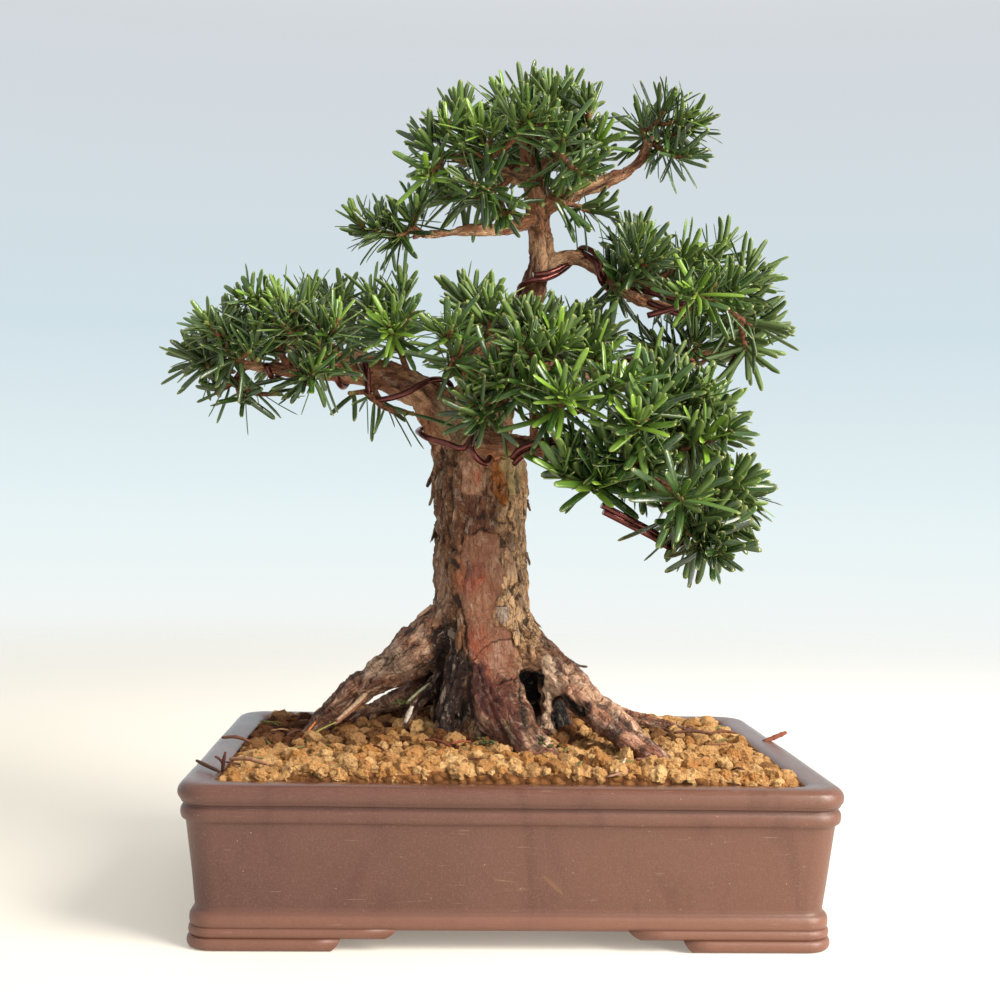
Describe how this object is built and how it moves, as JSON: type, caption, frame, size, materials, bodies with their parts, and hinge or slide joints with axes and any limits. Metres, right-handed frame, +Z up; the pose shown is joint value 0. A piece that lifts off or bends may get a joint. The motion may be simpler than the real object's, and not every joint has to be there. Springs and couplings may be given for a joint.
{
  "type": "japanese yew bonsai",
  "caption": "Old yew tree with a scarred trunk, spreading roots and wired branches, in a rectangular unglazed pot.",
  "frame": {"origin": "on the surface that the pot stands on, under the middle of the whole object's box", "axes": "+Z up; -Y towards the front, from which the tree is seen; +X to the right"},
  "size_m": [0.2678, 0.185, 0.346],
  "materials": {
    "pot_clay": "satin",
    "screen_plastic": "matte",
    "granules": "matte",
    "bark": "matte",
    "wire_metal": "satin",
    "foliage": "satin"
  },
  "bodies": {
    "root": {"drain_screen_1": "screen_plastic", "drain_screen_2": "screen_plastic", "pot": "pot_clay", "soil": "granules", "spray_centre_1": "foliage", "spray_centre_2": "foliage", "spray_centre_3": "foliage", "spray_centre_4": "foliage", "spray_centre_5": "foliage", "spray_centre_6": "foliage", "spray_centre_7": "foliage", "spray_centre_8": "foliage", "spray_centre_9": "foliage", "spray_crown_1": "foliage", "spray_crown_10": "foliage", "spray_crown_11": "foliage", "spray_crown_12": "foliage", "spray_crown_13": "foliage", "spray_crown_2": "foliage", "spray_crown_3": "foliage", "spray_crown_4": "foliage", "spray_crown_5": "foliage", "spray_crown_6": "foliage", "spray_crown_7": "foliage", "spray_crown_8": "foliage", "spray_crown_9": "foliage", "spray_left_1": "foliage", "spray_left_10": "foliage", "spray_left_11": "foliage", "spray_left_2": "foliage", "spray_left_3": "foliage", "spray_left_4": "foliage", "spray_left_5": "foliage", "spray_left_6": "foliage", "spray_left_7": "foliage", "spray_left_8": "foliage", "spray_left_9": "foliage", "spray_low_right_1": "foliage", "spray_low_right_2": "foliage", "spray_low_right_3": "foliage", "spray_low_right_4": "foliage", "spray_low_right_5": "foliage", "spray_low_right_6": "foliage", "spray_low_right_7": "foliage", "spray_low_right_8": "foliage", "spray_upper_right_1": "foliage", "spray_upper_right_2": "foliage", "spray_upper_right_3": "foliage", "spray_upper_right_4": "foliage", "spray_upper_right_5": "foliage", "spray_upper_right_6": "foliage", "spray_upper_right_7": "foliage", "tree_wood": "bark", "wire_back": "wire_metal", "wire_front_a": "wire_metal", "wire_front_b": "wire_metal", "wire_left": "wire_metal", "wire_upper_a": "wire_metal", "wire_upper_b": "wire_metal"}
  },
  "joints": []
}
